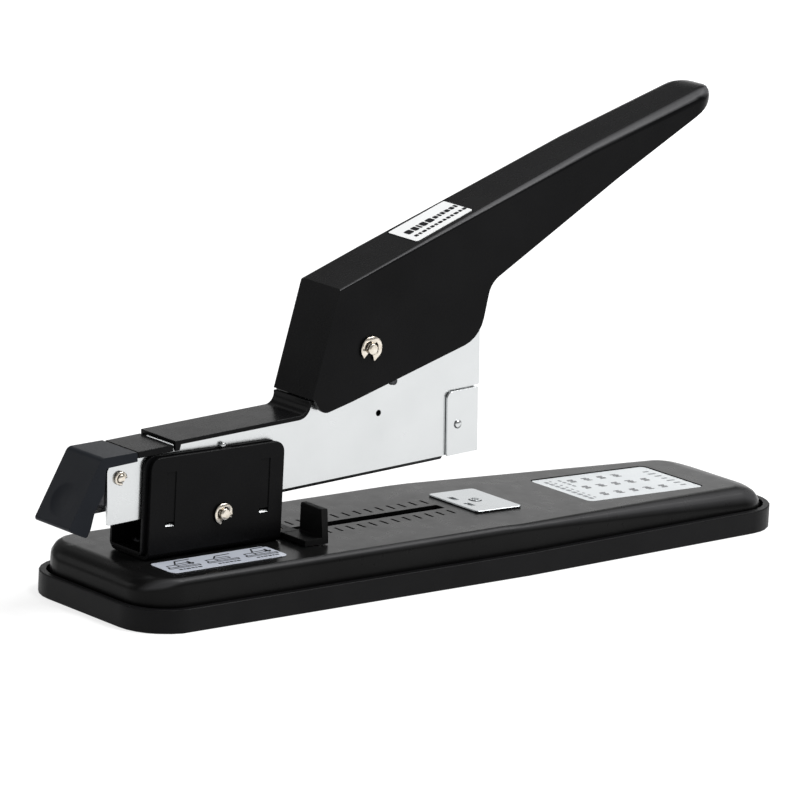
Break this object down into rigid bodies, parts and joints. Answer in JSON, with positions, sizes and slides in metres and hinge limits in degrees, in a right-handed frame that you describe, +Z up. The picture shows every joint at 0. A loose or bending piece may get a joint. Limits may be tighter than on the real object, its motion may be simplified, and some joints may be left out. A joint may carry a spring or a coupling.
{
  "type": "long reach stapler",
  "caption": "Heavy duty desk stapler with a long base, a lever handle over the arm, a sliding paper stop in a graduated slot and a front opening magazine.",
  "frame": {"origin": "on the base tray's flat underside, on its centre line, 148.5 mm from the bracket end", "axes": "+X along the base from the bracket end to the mouth end, +Y to the far side, +Z up"},
  "size_m": [0.3129, 0.0758, 0.1634],
  "materials": {
    "black_paint": "satin black paint on steel",
    "black_plastic": "matte black moulded plastic",
    "zinc": "bright zinc plate",
    "nickel": "nickel plate",
    "spring_steel": "oiled spring steel",
    "dark_steel": "blackened steel",
    "label_white": "printed white film",
    "label_silver": "printed silver film"
  },
  "bodies": {
    "base": {"base_tray": "black_plastic", "base_shell": "black_paint", "tray_screw_1": "nickel", "tray_screw_2": "nickel", "tray_screw_3": "nickel", "tray_screw_4": "nickel", "anvil_plate": "zinc", "anvil_rivet": "zinc", "data_label": "label_white", "loading_label": "label_white", "bracket": "black_paint", "bracket_liner": "black_paint", "bracket_rivet_1": "dark_steel", "bracket_rivet_2": "dark_steel", "bracket_rivet_3": "dark_steel", "bracket_rivet_4": "dark_steel", "arm_pivot_pin": "nickel", "pivot_clip_near": "nickel", "pivot_clip_far": "nickel", "liner_stud_near": "zinc", "liner_stud_far": "zinc", "arm_return_spring": "spring_steel"},
    "paper_stop": {"stop_bar": "black_plastic", "stop_slider": "dark_steel", "stop_screw": "nickel"},
    "arm": {"arm_channel": "zinc", "rear_cover": "black_paint", "arm_cover": "black_paint", "latch_pin": "nickel", "latch_clip_near": "nickel", "latch_clip_far": "nickel", "handle_pin": "nickel", "handle_clip_near": "nickel", "handle_clip_far": "nickel", "handle_bumper_near": "dark_steel", "handle_bumper_far": "dark_steel"},
    "handle": {"handle_shell": "black_paint", "handle_label": "label_silver", "drive_arm": "dark_steel", "drive_arm_rivet": "dark_steel", "drive_pin": "nickel", "handle_spring": "spring_steel"},
    "driver": {"driver_blade": "spring_steel", "driver_carrier": "dark_steel", "driver_rivet_1": "nickel", "driver_rivet_2": "nickel"},
    "magazine": {"magazine_rail": "dark_steel", "magazine_floor": "dark_steel", "nose_plate": "zinc", "nose_rivet_near": "zinc", "nose_rivet_far": "zinc", "magazine_tail": "dark_steel", "pusher_rod": "nickel", "rod_block": "dark_steel", "staple_strip": "zinc", "pusher_spring": "spring_steel"},
    "pusher": {"pusher": "black_plastic"},
    "latch": {"magazine_latch": "black_plastic", "latch_hook": "dark_steel"}
  },
  "joints": [
    {"name": "arm_pivot", "type": "hinge", "parent": "base", "child": "arm", "pos_m": [-0.0982, 0, 0.0316], "axis": [0, 1, 0], "range_deg": [0, 10.1], "stiffness_Nm_per_rad": 1.5, "springref_deg": -25.78, "deforming": ["arm_return_spring"]},
    {"name": "handle_pivot", "type": "hinge", "parent": "arm", "child": "handle", "pos_m": [-0.0359, 0, 0.08331], "axis": [0, 1, 0], "range_deg": [0, 19.5], "stiffness_Nm_per_rad": 0.9, "springref_deg": -22.92, "deforming": ["handle_spring"]},
    {"name": "driver_slide", "type": "slide", "parent": "arm", "child": "driver", "axis": [0.0489, 0, -0.9988], "range_m": [0, 0.0149]},
    {"name": "stop_slide", "type": "slide", "parent": "base", "child": "paper_stop", "axis": [1, 0, 0], "range_m": [0, 0.066]},
    {"name": "latch_pivot", "type": "hinge", "parent": "arm", "child": "latch", "pos_m": [-0.14068, 0, 0.04859], "axis": [0, -1, 0], "range_deg": [0, 8], "stiffness_Nm_per_rad": 0.06, "springref_deg": -14.32},
    {"name": "magazine_slide", "type": "slide", "parent": "arm", "child": "magazine", "axis": [-0.9988, 0, -0.0489], "range_m": [-0.05, 0]},
    {"name": "pusher_slide", "type": "slide", "parent": "magazine", "child": "pusher", "axis": [-0.9988, 0, -0.0489], "range_m": [0, 0.02], "stiffness_N_per_m": 60, "springref_m": -0.04, "deforming": ["pusher_spring"]}
  ],
  "couplings": [
    {"joint": "driver_slide", "follows": "handle_pivot", "m_per_rad": 0.043427}
  ]
}
